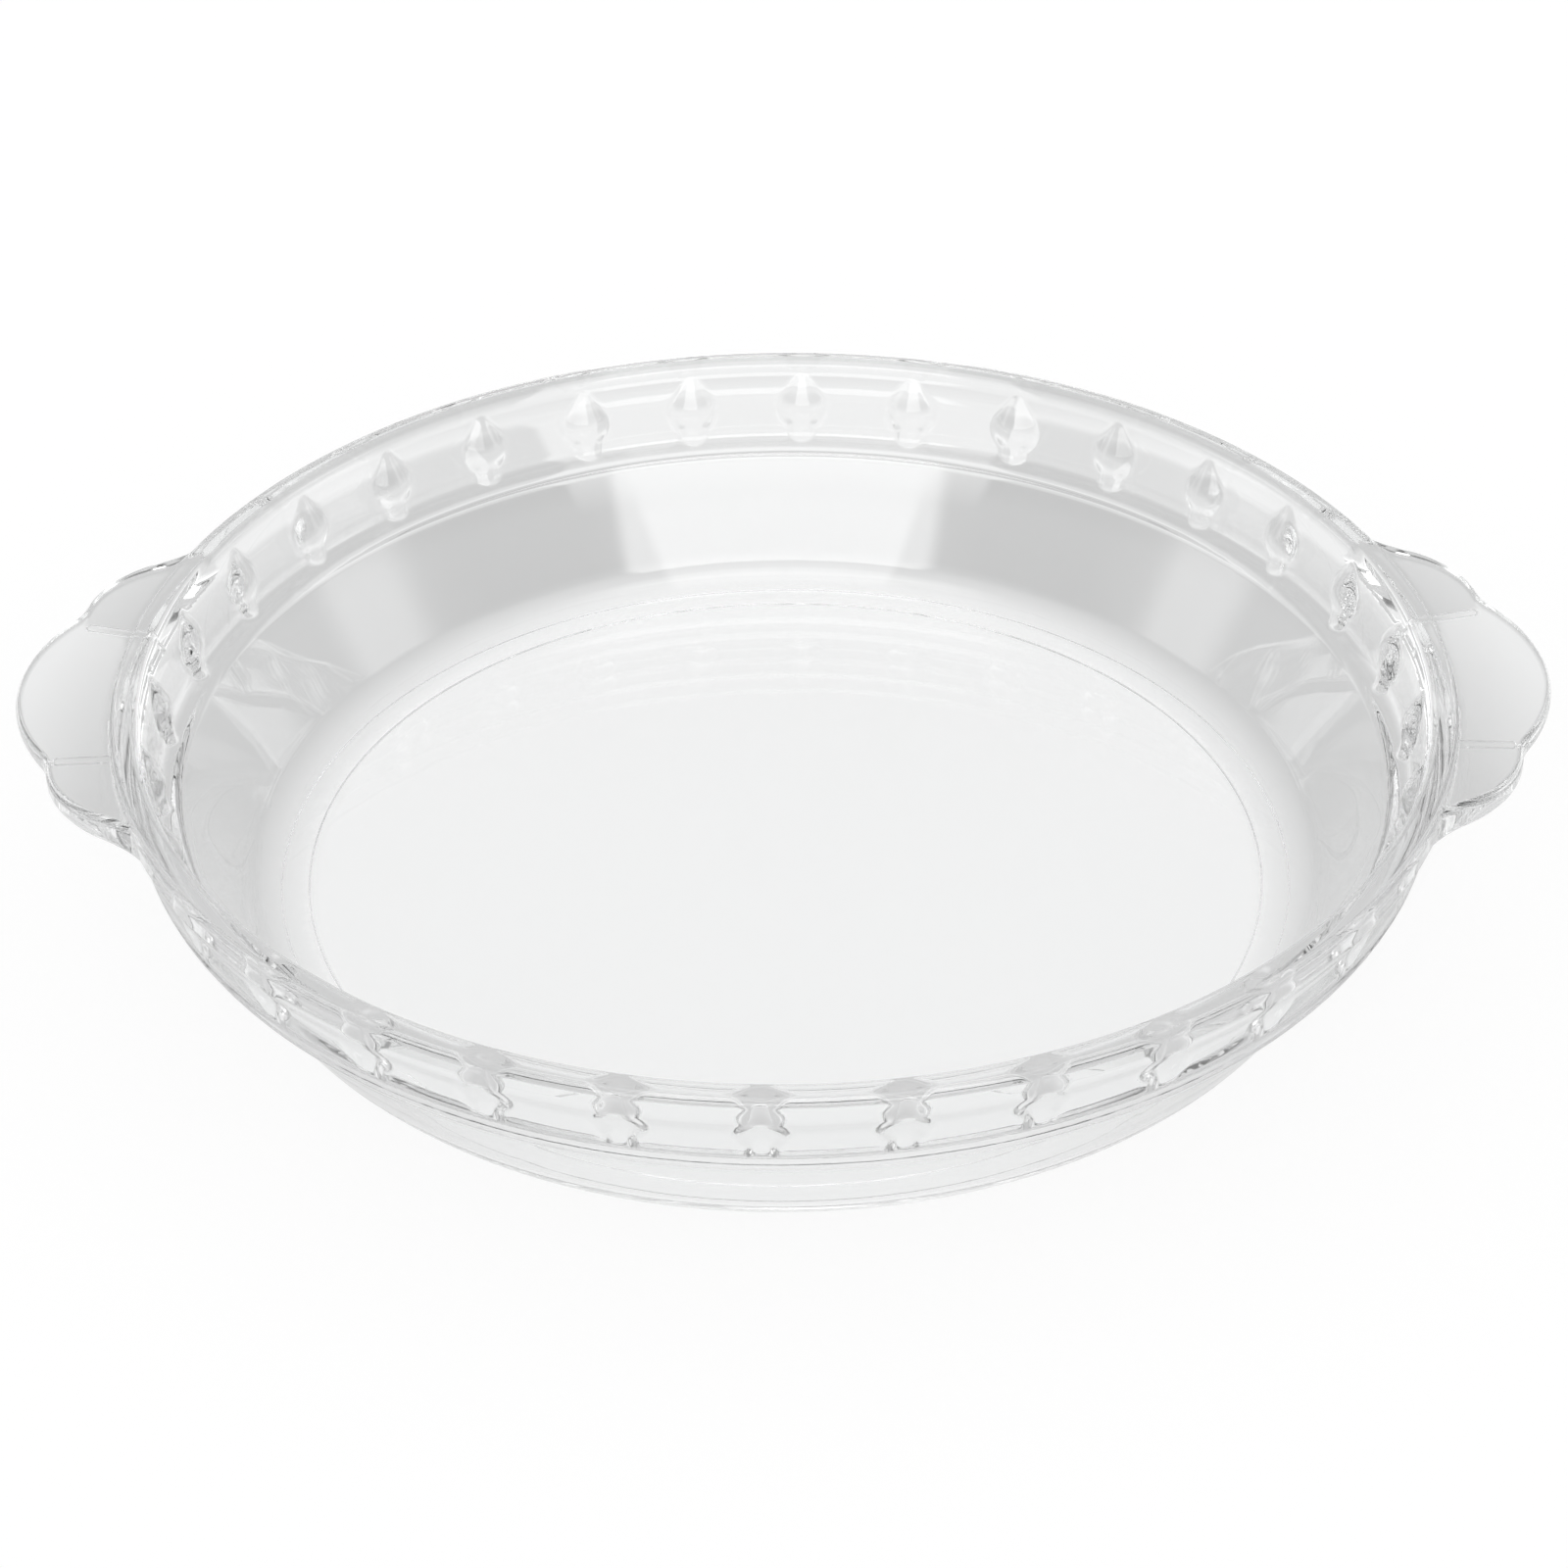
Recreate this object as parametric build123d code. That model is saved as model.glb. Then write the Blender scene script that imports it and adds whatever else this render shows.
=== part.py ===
from build123d import *
import math
import os

# Pie dish of clear pressed glass, with a fluted band under its rim and two lobed handles.
# Units are millimetres. Z points up, and z = 0 is the plane that the foot stands on.
# The origin is under the middle of the dish, and the handles lie along X.
# The real dish is one moulding: each node is one region of its glass, and the regions
# meet face to face.

# Overall sizes
rim_radius = 125.0
height = 45.5
glass_thickness = 4.5

# Rim lip, a bead that stands proud of the band on the outside and slopes back to it
lip_width = 5.4
lip_side = 3.0
lip_depth = 8.5
lip_top_edge = 1.6
lip_shoulder = 5.0

# Fluted band, a short wall that leans out a little
band_lean = 10.0

# Ledge under the band
ledge_depth = 16.5
ledge_width = 3.5
ledge_slope = 15.0
ledge_root_fillet = 1.5
ledge_nose_fillet = 2.5
ledge_under_fillet = 1.8

# Side wall, heel and foot
wall_lean = 30.0
heel_fillet = 6.0
foot_height = 0.7
foot_width = 5.3
foot_edge = 0.3

# Flutes, which swell from the inside of the band: a drop, and a neck down to the ledge
flute_count = 32
flute_turn = -2.4
flute_tip_depth = 4.2
flute_tip_ball = 1.6
flute_tip_proud = 0.6
flute_bulge_depth = 10.6
flute_bulge_ball = 5.7
flute_bulge_proud = 2.4
flute_neck_depth = 18.0
flute_neck_ball = 2.8
flute_neck_proud = 1.7

# Handles, flat flanges with one broad lobe between two small ones, thinner at the tip
handle_drop = 0.6
handle_root_thickness = 6.2
handle_tip_thickness = 3.1
handle_edge = 1.5
handle_reach = 17.7
lobe_radius = 39.7
side_lobe_radius = 22.0
side_lobe_inset = 8.7
side_lobe_offset = 23.6
notch_fillet = 10.0
root_fillet = 22.0

# Ribs under the handles
rib_angle = 9.6
rib_length = 11.5
rib_width = 1.9
rib_height = 0.6
rib_edge = 0.4

# How far cutting shapes reach: a length past what they cut, and a share of the section
overrun = 2.0
cover_share = 4

# Angles
full_turn = 360.0
right_angle = 90.0

# Headings of the straight stretches of the section, from level
floor_heading = 0.0
wall_heading = right_angle - wall_lean
ledge_heading = ledge_slope
band_heading = right_angle - band_lean

# Levels
lip_bottom = height - lip_depth
floor_top = foot_height + glass_thickness
handle_top = height - handle_drop
handle_bottom = handle_top - handle_root_thickness


def run_of(rise, lean):
    """Sideways run of a line that climbs by rise and leans from upright."""
    return rise * math.tan(math.radians(lean))


def ahead(point, heading, distance):
    """Point moved along a heading."""
    angle = math.radians(heading)
    return (point[0] + distance * math.cos(angle), point[1] + distance * math.sin(angle))


def outwards(point, heading, distance):
    """Point moved square to a heading, out of the dish."""
    return ahead(point, heading - right_angle, distance)


def crossing(first, first_heading, second, second_heading):
    """Point where two lines cross, each given by a point and a heading."""
    turn = math.radians(second_heading - first_heading)
    gap = (second[0] - first[0], second[1] - first[1])
    angle = math.radians(second_heading)
    along = (gap[0] * math.sin(angle) - gap[1] * math.cos(angle)) / math.sin(turn)
    return ahead(first, first_heading, along)


def setback(fillet_radius, turn):
    """Length that a fillet takes from each of two lines that meet at a turn."""
    return fillet_radius * math.tan(math.radians(turn) / 2)


def outer_corner(point, heading_before, heading_after):
    """Corner of the outside of the glass, one thickness away from a corner of its inside."""
    return crossing(
        outwards(point, heading_before, glass_thickness), heading_before,
        outwards(point, heading_after, glass_thickness), heading_after,
    )


# Corners of the inside of the section
mouth_edge = (rim_radius - lip_width, height)
ledge_root = (mouth_edge[0] - run_of(ledge_depth, band_lean), height - ledge_depth)
ledge_nose = (ledge_root[0] - ledge_width, ledge_root[1] - run_of(ledge_width, ledge_slope))
floor_corner = crossing(ledge_nose, wall_heading, (0, floor_top), floor_heading)

# Corners of the outside of the section
outer_floor_corner = outer_corner(floor_corner, floor_heading, wall_heading)
outer_nose = outer_corner(ledge_nose, wall_heading, ledge_heading)
outer_root = outer_corner(ledge_root, ledge_heading, band_heading)
outer_mouth = crossing(outer_root, band_heading, mouth_edge, floor_heading)

# Angle between two flutes, and the place of the seams of the rings, midway between two
flute_pitch = full_turn / flute_count
seam_angle = flute_turn + (flute_count // 4) * flute_pitch + flute_pitch / 2

# Where one region of the glass gives way to the next, on the inside
heel_setback = setback(heel_fillet, wall_heading - floor_heading)
nose_setback = setback(ledge_nose_fillet, wall_heading - ledge_heading)
root_setback = setback(ledge_root_fillet, band_heading - ledge_heading)
heel_start_radius = floor_corner[0] - heel_setback
foot_inner_radius = heel_start_radius - foot_width
heel_end = ahead(floor_corner, wall_heading, heel_setback)
wall_end = ahead(ledge_nose, wall_heading, -2 * nose_setback)
band_start = ahead(ledge_root, band_heading, 2 * root_setback)


def band_inner_radius(level):
    """Radius of the inside of the band at a level."""
    return mouth_edge[0] - run_of(height - level, band_lean)


def band_outer_radius(level):
    """Radius of the outside of the band at a level."""
    return outer_mouth[0] - run_of(height - level, band_lean)


def flank_radius(level):
    """Radius of the sloping outside of the lip at a level."""
    foot = band_outer_radius(lip_bottom)
    return foot + (rim_radius - foot) * (level - lip_bottom) / (lip_depth - lip_side)


# Where a handle leaves the outside of the lip, and how its underside climbs to its tip
handle_root_radius = flank_radius(handle_bottom)
handle_taper = math.degrees(math.atan2(
    handle_root_thickness - handle_tip_thickness,
    rim_radius + handle_reach - handle_root_radius,
))


def section_face():
    """Whole cut section of the glass without its bead, radius as x and height as y."""
    inner = FilletPolyline(
        (0, floor_top), floor_corner, ledge_nose, ledge_root, mouth_edge,
        radius=[heel_fillet, ledge_nose_fillet, ledge_root_fillet],
    )
    outer = FilletPolyline(
        (0, foot_height), outer_floor_corner, outer_nose, outer_root, outer_mouth,
        radius=[
            heel_fillet + glass_thickness,
            ledge_under_fillet,
            ledge_root_fillet + glass_thickness,
        ],
    )
    top = Line(mouth_edge, outer_mouth)
    axis = Line((0, floor_top), (0, foot_height))
    return make_face([*inner.edges(), top, *outer.edges(), axis])


def left_of(point, heading):
    """Large face to the left of the line that runs through a point along a heading."""
    size = cover_share * (rim_radius + height)
    return Pos(*point) * Rot(0, 0, heading) * Pos(0, size / 2) * Rectangle(size, size)


def before(point, heading):
    """Large face that holds all the glass before a cut made square across it."""
    return left_of(point, heading + right_angle)


def turned(section):
    """Solid of revolution about Z of a section drawn with radius as x and height as y."""
    ring = revolve(Plane.XZ * section, axis=Axis.Z, revolution_arc=full_turn)
    return Rot(0, 0, seam_angle) * ring


def glass_rings():
    """Floor, heel, wall, ledge and plain band, cut from one section in this order."""
    cuts = [
        before((foot_inner_radius, 0), floor_heading),
        before(heel_end, wall_heading),
        before(wall_end, wall_heading),
        before(band_start, band_heading),
        left_of((0, lip_bottom), floor_heading + 2 * right_angle),
    ]
    rest = section_face()
    rings = []
    for cut in cuts:
        rings.append(turned(rest & cut))
        rest = rest - cut
    return rings


def foot_ring():
    """Low ring under the heel that the dish stands on."""
    outline = make_face(Polyline(
        (foot_inner_radius, 0), (heel_start_radius, 0),
        (heel_start_radius, foot_height), (foot_inner_radius, foot_height), close=True,
    ))
    return turned(fillet(outline.vertices().group_by(Axis.Y)[0], foot_edge))


def rim_lip():
    """Bead round the mouth, proud of the band on the outside only."""
    bead = make_face(Polyline(
        (band_inner_radius(lip_bottom), lip_bottom), mouth_edge,
        (rim_radius, height), (rim_radius, height - lip_side),
        (band_outer_radius(lip_bottom), lip_bottom), close=True,
    ))
    bead = fillet(bead.vertices().group_by(Axis.Y)[-1], lip_top_edge)
    shoulder = bead.vertices().group_by(Axis.X)[-1].sort_by(Axis.Y)[0]
    return turned(fillet(shoulder, lip_shoulder))


def swell_centre(depth, ball, proud):
    """Centre of a ball that stands proud of the inside of the band, at a depth under the rim."""
    level = height - depth
    return (band_inner_radius(level) + ball - proud, level)


def wrapped(first, first_ball, second, second_ball):
    """Solid that wraps two balls, given by their centres and radii."""
    heading = math.degrees(math.atan2(second[1] - first[1], second[0] - first[0]))
    one = Pos(*first) * Circle(first_ball)
    two = Pos(*second) * Circle(second_ball)
    half = make_hull([*one.edges(), *two.edges()]) & left_of(first, heading)
    axis = Axis((first[0], 0, first[1]), (second[0] - first[0], 0, second[1] - first[1]))
    return revolve(Plane.XZ * half, axis=axis, revolution_arc=full_turn)


def flute(lip, ledge):
    """One flute on the inside of the band, standing on the ledge."""
    drop = wrapped(
        swell_centre(flute_tip_depth, flute_tip_ball, flute_tip_proud), flute_tip_ball,
        swell_centre(flute_bulge_depth, flute_bulge_ball, flute_bulge_proud),
        flute_bulge_ball,
    )
    neck = wrapped(
        swell_centre(flute_bulge_depth, flute_neck_ball, flute_neck_proud), flute_neck_ball,
        swell_centre(flute_neck_depth, flute_neck_ball, flute_neck_proud), flute_neck_ball,
    )
    middle = outwards(mouth_edge, band_heading, glass_thickness / 2)
    mouth = Pos(0, ledge_nose[1]) * Rectangle(
        rim_radius, ledge_depth + ledge_root[1] - ledge_nose[1], align=(Align.MIN, Align.MIN)
    )
    return (drop + neck) & turned(mouth & left_of(middle, band_heading)) - lip - ledge


def fluted_band(plain_band, lip, ledge):
    """Band with its flutes."""
    one_flute = flute(lip, ledge)
    return plain_band + [
        Rot(0, 0, flute_turn + flute_pitch * number) * one_flute
        for number in range(flute_count)
    ]


def handle_plan():
    """Outline of the right handle seen from above, filled across the dish."""
    tip = rim_radius + handle_reach
    side_x = tip - side_lobe_inset - side_lobe_radius
    plan = Circle(handle_root_radius)
    plan += Pos(tip - lobe_radius, 0) * Rot(0, 0, 2 * right_angle) * Circle(lobe_radius)
    for side in (1, -1):
        side_lobe = Rot(0, 0, 2 * right_angle) * Circle(side_lobe_radius)
        plan += Pos(side_x, side * side_lobe_offset) * side_lobe
    plan = fillet(plan.vertices().sort_by(Axis.X)[:2], root_fillet)
    return fillet(plan.vertices().sort_by(Axis.X)[-2:], notch_fillet)


def right_handle(plain_band, lip):
    """Lobed flange on the +X side, flat on top and thinner towards its tip."""
    below = Rectangle(
        rim_radius + handle_reach + overrun, height, align=(Align.MIN, Align.MIN)
    ) - left_of((handle_root_radius, handle_bottom), handle_taper)
    slab = extrude(handle_plan(), handle_top) - turned(below)
    sides = slab.faces().filter_by(GeomType.CYLINDER).edges()
    under = slab.faces().filter_by(GeomType.CONE).edges()
    top = slab.faces().sort_by(Axis.Z)[-1].edges()
    slab = fillet([*(sides & under), *(sides & top)], handle_edge)
    middle = band_inner_radius(handle_bottom) + glass_thickness / 2
    core = Cylinder(middle, height, align=(Align.CENTER, Align.CENTER, Align.MIN))
    return (slab - core - plain_band - lip).solids().sort_by(Axis.X)[-1]


def right_handle_ribs(handle, lip, plain_band):
    """Two low bars under the right handle, from the lip to its notches."""
    length = rib_length + overrun
    slot = Pos(rib_length - length / 2, 0, -rib_height) * SlotOverall(length, rib_width)
    bar = extrude(slot, rib_height + handle_tip_thickness / 2)
    bar = fillet(bar.edges().group_by(Axis.Z)[0], rib_edge)
    bar = Pos(handle_root_radius, 0, handle_bottom) * Rot(0, -handle_taper, 0) * bar
    bars = Rot(0, 0, rib_angle) * bar + Rot(0, 0, -rib_angle) * bar
    return bars - handle - lip - plain_band


def other_side(shape):
    """Copy of a shape mirrored to the -X side."""
    return mirror(shape, about=Plane.YZ)


def build_nodes():
    """Every region of the glass, by the name of its node."""
    floor_panel, heel_corner, side_wall, ledge, plain_band = glass_rings()
    lip = rim_lip()
    handle = right_handle(plain_band, lip)
    ribs = right_handle_ribs(handle, lip, plain_band)
    return {
        "floor_panel": floor_panel,
        "foot_ring": foot_ring(),
        "heel_corner": heel_corner,
        "side_wall": side_wall,
        "ledge": ledge,
        "fluted_band": fluted_band(plain_band, lip, ledge),
        "rim_lip": lip,
        "right_handle": handle,
        "left_handle": other_side(handle),
        "right_handle_ribs": ribs,
        "left_handle_ribs": other_side(ribs),
    }


os.makedirs("parts", exist_ok=True)
for name, shape in build_nodes().items():
    export_step(shape, f"parts/{name}.step")
    print(name, "volume", round(shape.volume, 1))
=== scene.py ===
import logging
import math
from collections.abc import Iterable, Iterator
from dataclasses import dataclass, field
from enum import Enum

import bmesh
import bpy
from mathutils import Matrix, Vector


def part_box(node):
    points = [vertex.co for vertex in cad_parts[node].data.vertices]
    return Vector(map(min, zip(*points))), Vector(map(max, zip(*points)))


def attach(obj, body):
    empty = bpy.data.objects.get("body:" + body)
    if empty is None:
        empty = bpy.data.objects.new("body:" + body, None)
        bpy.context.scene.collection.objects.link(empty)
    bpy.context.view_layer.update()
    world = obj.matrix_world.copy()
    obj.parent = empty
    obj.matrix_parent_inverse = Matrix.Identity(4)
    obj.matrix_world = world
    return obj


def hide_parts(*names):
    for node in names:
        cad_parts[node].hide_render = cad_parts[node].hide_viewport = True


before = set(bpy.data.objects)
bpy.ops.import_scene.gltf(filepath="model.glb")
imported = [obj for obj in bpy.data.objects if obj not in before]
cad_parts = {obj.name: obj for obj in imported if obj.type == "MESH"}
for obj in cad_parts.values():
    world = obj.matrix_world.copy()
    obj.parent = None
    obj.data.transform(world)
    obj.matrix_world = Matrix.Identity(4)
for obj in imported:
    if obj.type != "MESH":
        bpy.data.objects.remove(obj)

# Everything is in metres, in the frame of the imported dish: Z points up, the origin is under
# the middle of the dish on the plane it stands on, and the handles lie along X.
log = logging.getLogger("pie_dish")
MM = 0.001
FULL_TURN = 2 * math.pi
RIGHT_ANGLE = math.pi / 2
QUARTER_TURN_DEGREES = 90
HALF_TURN_DEGREES = 180
HAIR = 1e-6
FEWEST_CHORDS = 2
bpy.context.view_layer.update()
FLUTED_ATTRIBUTE = "fluted"


class Wall(Enum):
    """Which side of the glass a ring of the section lies on."""

    INSIDE = "inside"
    OUTSIDE = "outside"


@dataclass(frozen=True)
class Stretch:
    """A straight stretch of the section: a point on it, and its heading from level."""

    radius: float
    level: float
    heading: float

    def ahead(self, distance: float) -> tuple[float, float]:
        """Point at a distance along the stretch."""
        return (
            self.radius + distance * math.cos(self.heading),
            self.level + distance * math.sin(self.heading),
        )

    def moved_out(self, distance: float) -> "Stretch":
        """Same stretch, moved square to itself and out of the dish."""
        beside = Stretch(self.radius, self.level, self.heading - RIGHT_ANGLE)
        return Stretch(*beside.ahead(distance), self.heading)

    def crossing(self, other: "Stretch") -> tuple[float, float]:
        """Point where two stretches cross.

        Args:
            other: The stretch that crosses this one.

        Returns:
            Radius and level of the crossing.
        """
        across = other.radius - self.radius
        up = other.level - self.level
        along = across * math.sin(other.heading) - up * math.cos(other.heading)
        return self.ahead(along / math.sin(other.heading - self.heading))


@dataclass(frozen=True)
class Corner:
    """A corner of the section and the radius that rounds it."""

    radius: float
    level: float
    fillet: float = 0.0


def rounded(corners: list[Corner], steps_per_right_angle: int) -> list[tuple[float, float]]:
    """Section line with its corners rounded by arcs.

    Args:
        corners: Corners in order. The first and the last one stay sharp.
        steps_per_right_angle: How many chords a fillet takes for a right angle.

    Returns:
        Points of the line, as radius and level.
    """
    points = [(corners[0].radius, corners[0].level)]
    for before, here, after in zip(corners, corners[1:], corners[2:]):
        place = Vector((here.radius, here.level))
        back = (Vector((before.radius, before.level)) - place).normalized()
        on = (Vector((after.radius, after.level)) - place).normalized()
        turn = math.pi - back.angle(on)
        if here.fillet == 0:
            points.append(tuple(place))
            continue
        setback = here.fillet * math.tan(turn / 2)
        centre = place + (back + on).normalized() * here.fillet / math.cos(turn / 2)
        steps = max(FEWEST_CHORDS, round(steps_per_right_angle * turn / RIGHT_ANGLE))
        start = place + back * setback - centre
        side = 1 if back.x * on.y - back.y * on.x < 0 else -1
        for step in range(steps + 1):
            arm = Matrix.Rotation(side * turn * step / steps, 2) @ start
            points.append(tuple(centre + arm))
    points.append((corners[-1].radius, corners[-1].level))
    return points


@dataclass(frozen=True)
class GlassSection:
    """Sizes of the cut section of the dish."""

    rim_radius: float
    height: float
    glass: float = 4.5 * MM
    lip_width: float = 5.4 * MM
    lip_side: float = 4.4 * MM
    lip_depth: float = 8.5 * MM
    lip_top_edge: float = 1.6 * MM
    lip_shoulder: float = 5.0 * MM
    lip_root: float = 8.0 * MM
    band_lean: float = math.radians(10)
    ledge_depth: float = 16.5 * MM
    ledge_width: float = 3.5 * MM
    ledge_slope: float = math.radians(15)
    ledge_root_fillet: float = 1.5 * MM
    ledge_nose_fillet: float = 2.5 * MM
    ledge_under_fillet: float = 1.8 * MM
    wall_lean: float = math.radians(30)
    heel_fillet: float = 6.0 * MM
    foot_height: float = 0.7 * MM
    foot_width: float = 5.3 * MM
    foot_edge: float = 0.3 * MM
    steps_per_right_angle: int = 12

    @property
    def floor_top(self) -> float:
        """Level of the floor inside the dish."""
        return self.foot_height + self.glass

    @property
    def mouth_radius(self) -> float:
        """Radius of the mouth, inside the bead."""
        return self.rim_radius - self.lip_width

    @property
    def floor(self) -> Stretch:
        """Floor inside the dish."""
        return Stretch(0, self.floor_top, 0)

    @property
    def band(self) -> Stretch:
        """Inside of the fluted band, from the mouth."""
        return Stretch(self.mouth_radius, self.height, RIGHT_ANGLE - self.band_lean)

    @property
    def ledge(self) -> Stretch:
        """Top of the ledge, from its root under the band."""
        level = self.height - self.ledge_depth
        return Stretch(self.band_inner_radius(level), level, self.ledge_slope)

    @property
    def wall(self) -> Stretch:
        """Inside of the side wall, from the nose of the ledge."""
        run = -self.ledge_width / math.cos(self.ledge_slope)
        return Stretch(*self.ledge.ahead(run), RIGHT_ANGLE - self.wall_lean)

    def band_inner_radius(self, level: float) -> float:
        """Radius of the inside of the band at a level."""
        return self.mouth_radius - (self.height - level) * math.tan(self.band_lean)

    def band_outer_radius(self, level: float) -> float:
        """Radius of the outside of the band at a level."""
        return self.band_inner_radius(level) + self.glass / math.cos(self.band_lean)

    @property
    def lip_flank(self) -> Stretch:
        """Outside of the lip where it slopes back to the band, from its foot.

        Returns:
            The stretch, from its lower end.
        """
        level = self.height - self.lip_depth
        radius = self.band_outer_radius(level)
        rise = self.lip_depth - self.lip_side
        return Stretch(radius, level, math.atan2(rise, self.rim_radius - radius))

    def flank_radius(self, level: float) -> float:
        """Radius of the sloping outside of the lip at a level."""
        flank = self.lip_flank
        return flank.radius + (level - flank.level) / math.tan(flank.heading)

    def inner_line(self) -> list[tuple[float, float]]:
        """Line of the inside, from the middle of the floor up to the mouth.

        Returns:
            Points of the line, as radius and level.
        """
        nose = (self.wall.radius, self.wall.level)
        root = (self.ledge.radius, self.ledge.level)
        corners = [
            Corner(0, self.floor_top),
            Corner(*self.floor.crossing(self.wall), self.heel_fillet),
            Corner(*nose, self.ledge_nose_fillet),
            Corner(*root, self.ledge_root_fillet),
            Corner(self.mouth_radius, self.height, self.lip_top_edge),
            Corner(self.rim_radius, self.height),
        ]
        return rounded(corners, self.steps_per_right_angle)[:-1]

    def outer_line(self) -> list[tuple[float, float]]:
        """Line of the outside, from the top of the lip down to the middle of the underside.

        Returns:
            Points of the line, as radius and level.
        """
        under_floor = self.floor.moved_out(self.glass)
        under_wall = self.wall.moved_out(self.glass)
        under_ledge = self.ledge.moved_out(self.glass)
        behind_band = self.band.moved_out(self.glass)
        heel_turn = RIGHT_ANGLE - self.wall_lean
        heel_setback = self.heel_fillet * math.tan(heel_turn / 2)
        foot_outer = self.floor.crossing(self.wall)[0] - heel_setback
        foot_inner = foot_outer - self.foot_width
        corners = [
            Corner(self.mouth_radius, self.height),
            Corner(self.rim_radius, self.height, self.lip_top_edge),
            Corner(self.rim_radius, self.height - self.lip_side, self.lip_shoulder),
            Corner(self.lip_flank.radius, self.lip_flank.level, self.lip_root),
            Corner(*behind_band.crossing(under_ledge), self.ledge_root_fillet + self.glass),
            Corner(*under_ledge.crossing(under_wall), self.ledge_under_fillet),
            Corner(*under_wall.crossing(under_floor), self.heel_fillet + self.glass),
            Corner(foot_outer, self.foot_height),
            Corner(foot_outer, 0, self.foot_edge),
            Corner(foot_inner, 0, self.foot_edge),
            Corner(foot_inner, self.foot_height, self.foot_edge),
            Corner(0, self.foot_height),
        ]
        return rounded(corners, self.steps_per_right_angle)[1:]


@dataclass(frozen=True)
class Ball:
    """A ball in the band: its depth under the rim, its radius, and how far it stands out."""

    depth: float
    radius: float
    proud: float


@dataclass(frozen=True)
class Swell:
    """A smooth swelling inside the band: what an upper and a lower ball wrap together."""

    name: str
    section: GlassSection
    high: Ball
    low: Ball

    def centre(self, ball: Ball) -> tuple[float, float]:
        """Radius and level of the centre of one of its balls."""
        level = self.section.height - ball.depth
        return self.section.band_inner_radius(level) + ball.radius - ball.proud, level

    def inputs(self) -> dict[str, float]:
        """Named inputs of the node tree for this swelling.

        Returns:
            Value of each input, by name.
        """
        high_radius, high_level = self.centre(self.high)
        low_radius, low_level = self.centre(self.low)
        run = low_radius - high_radius
        fall = low_level - high_level
        length = math.hypot(run, fall)
        flare = (self.low.radius - self.high.radius) / length
        sizes = {
            "High Radius": high_radius, "High Level": high_level,
            "High Ball": self.high.radius,
            "Low Radius": low_radius, "Low Level": low_level, "Low Ball": self.low.radius,
            "Length": length, "Run": run / length, "Fall": fall / length,
            "Flare": flare, "Slimness": math.sqrt(1 - flare**2),
        }
        return {f"{self.name} {label}": size for label, size in sizes.items()}


class Field:
    """A number that a node socket carries. Arithmetic on it adds Math nodes to its tree."""

    def __init__(self, tree: bpy.types.NodeTree, socket: bpy.types.NodeSocket) -> None:
        """Holds a socket.

        Args:
            tree: Node tree that the socket is in.
            socket: Output socket of a node in that tree.
        """
        self.tree = tree
        self.socket = socket

    def math(self, operation: str, *others: "Field | float", clamp: bool = False) -> "Field":
        """Result of a Math node.

        Args:
            operation: Name of the node's operation.
            others: Its other operands, as fields or numbers.
            clamp: Whether the result is held between 0 and 1.

        Returns:
            The node's result.
        """
        node = self.tree.nodes.new("ShaderNodeMath")
        node.operation = operation
        node.use_clamp = clamp
        for socket, operand in zip(node.inputs, (self, *others)):
            connect(self.tree, operand, socket)
        return Field(self.tree, node.outputs[0])

    def __add__(self, other: "Field | float") -> "Field":
        """Sum."""
        return self.math("ADD", other)

    def __sub__(self, other: "Field | float") -> "Field":
        """Difference."""
        return self.math("SUBTRACT", other)

    def __mul__(self, other: "Field | float") -> "Field":
        """Product."""
        return self.math("MULTIPLY", other)

    def __truediv__(self, other: "Field | float") -> "Field":
        """Quotient."""
        return self.math("DIVIDE", other)

    def squared(self) -> "Field":
        """Square."""
        return self * self

    def root(self) -> "Field":
        """Square root of the field's size, with the field's sign."""
        return self.math("ABSOLUTE").math("SQRT") * self.math("SIGN")

    def blend(self, low: "Field | float", high: "Field | float") -> "Field":
        """Value between low and high, by this field as a share."""
        return (self * -1 + 1) * low + self * high


def connect(tree: bpy.types.NodeTree, value: object, socket: bpy.types.NodeSocket) -> None:
    """Links a field or an output socket to an input socket, or sets the input to a value.

    Args:
        tree: Tree that both sockets are in.
        value: Field, output socket or plain value.
        socket: Input socket that takes it.
    """
    if isinstance(value, Field):
        tree.links.new(value.socket, socket)
    elif isinstance(value, bpy.types.NodeSocket):
        tree.links.new(value, socket)
    else:
        socket.default_value = value


def add_node(tree: bpy.types.NodeTree, kind: str, settings: dict | None = None,
             **inputs: object) -> bpy.types.Node:
    """Adds a node, sets its properties and feeds its inputs.

    Args:
        tree: Tree that gets the node.
        kind: Blender's name of the node's type.
        settings: Properties to set on the node.
        inputs: What feeds each input, by the input's name with _ for a space.

    Returns:
        The new node.
    """
    node = tree.nodes.new(kind)
    for name, value in (settings or {}).items():
        setattr(node, name, value)
    for name, value in inputs.items():
        connect(tree, value, node.inputs[name.replace("_", " ")])
    return node


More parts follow.
